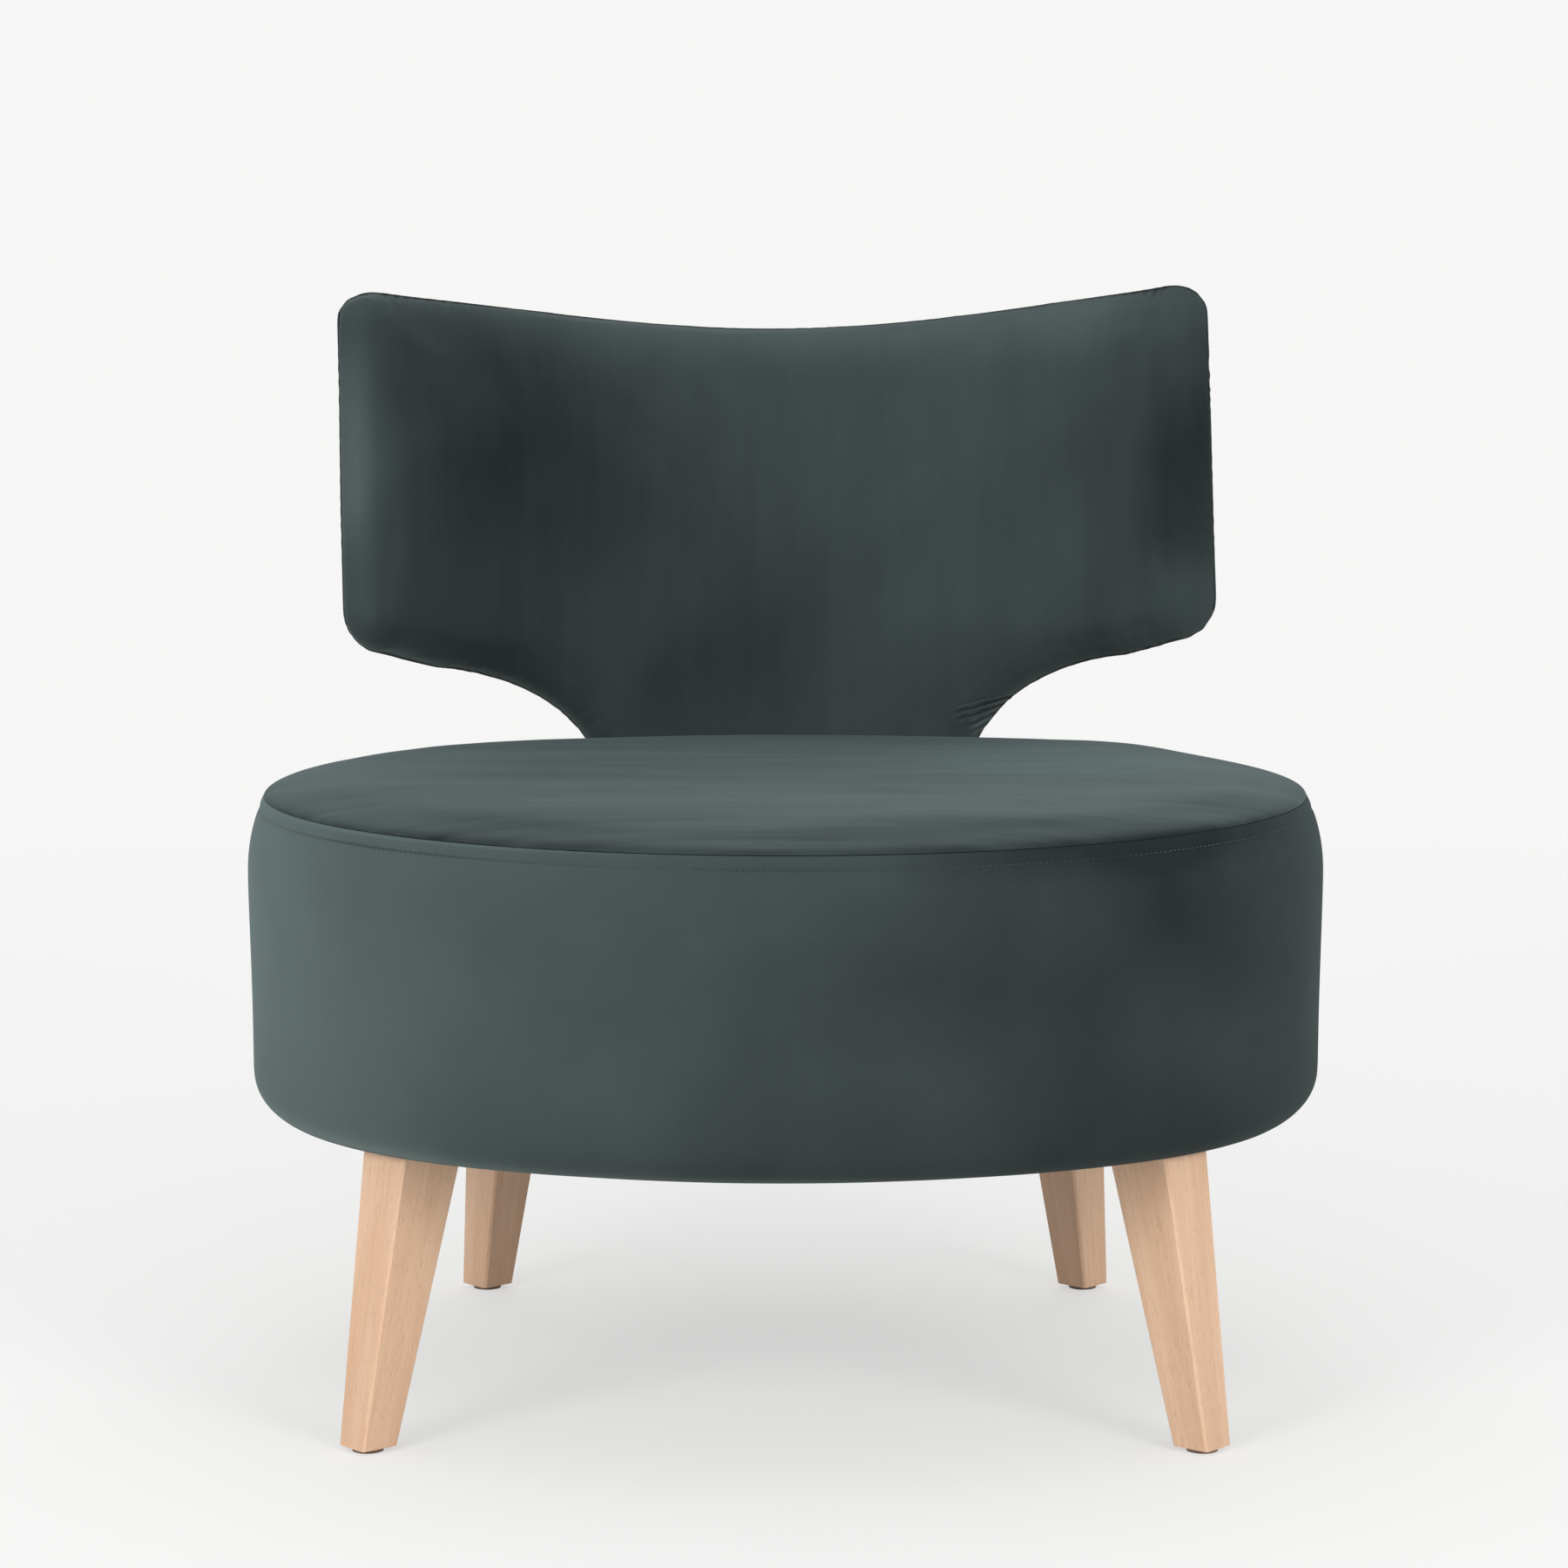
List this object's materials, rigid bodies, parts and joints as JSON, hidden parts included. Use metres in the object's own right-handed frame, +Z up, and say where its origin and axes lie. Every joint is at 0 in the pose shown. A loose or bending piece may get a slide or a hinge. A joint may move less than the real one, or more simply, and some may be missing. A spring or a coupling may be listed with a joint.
{
  "type": "lounge chair",
  "caption": "Low armless round lounge chair: velvet drum seat, bent winged back on a neck, splayed tapered beech legs.",
  "frame": {"origin": "on the floor, in the middle of the chair's bounding box seen from above", "axes": "+Z up; +Y from the front of the seat to the back, so a sitter faces -Y; +X to the right of a viewer who faces the chair"},
  "size_m": [0.7199, 0.8178, 0.7273],
  "materials": {
    "velvet": "dark grey-green cut velvet with a brushed nap",
    "beech": "clear matt lacquered beech",
    "plywood": "raw birch plywood",
    "pine": "planed softwood",
    "foam": "cut upholstery foam",
    "wadding": "white polyester wadding",
    "webbing": "woven elastic webbing",
    "dust_cloth": "black spunbonded cloth",
    "glide_plastic": "dark matt plastic",
    "zinc_steel": "zinc plated steel"
  },
  "bodies": {
    "root": {"seat_top_cover": "velvet", "seat_band_cover": "velvet", "seat_wadding": "wadding", "seat_foam": "foam", "side_foam": "foam", "webbing_lengthwise": "webbing", "webbing_crosswise": "webbing", "top_ring": "plywood", "base_ring": "plywood", "frame_posts": "pine", "bent_hoop": "plywood", "rear_block": "pine", "leg_blocks": "pine", "frame_screws": "zinc_steel", "dust_cover": "dust_cloth", "leg_front_left": "beech", "leg_front_right": "beech", "leg_rear_left": "beech", "leg_rear_right": "beech", "glide_front_left": "glide_plastic", "glide_front_right": "glide_plastic", "glide_rear_left": "glide_plastic", "glide_rear_right": "glide_plastic", "leg_bolts": "zinc_steel", "leg_tee_nuts": "zinc_steel", "back_panel": "plywood", "neck_packer": "pine", "back_front_foam": "foam", "back_rear_foam": "foam", "back_front_cover": "velvet", "back_rear_cover": "velvet", "back_bolts": "zinc_steel", "back_washers": "zinc_steel", "back_tee_nuts": "zinc_steel"}
  },
  "joints": []
}
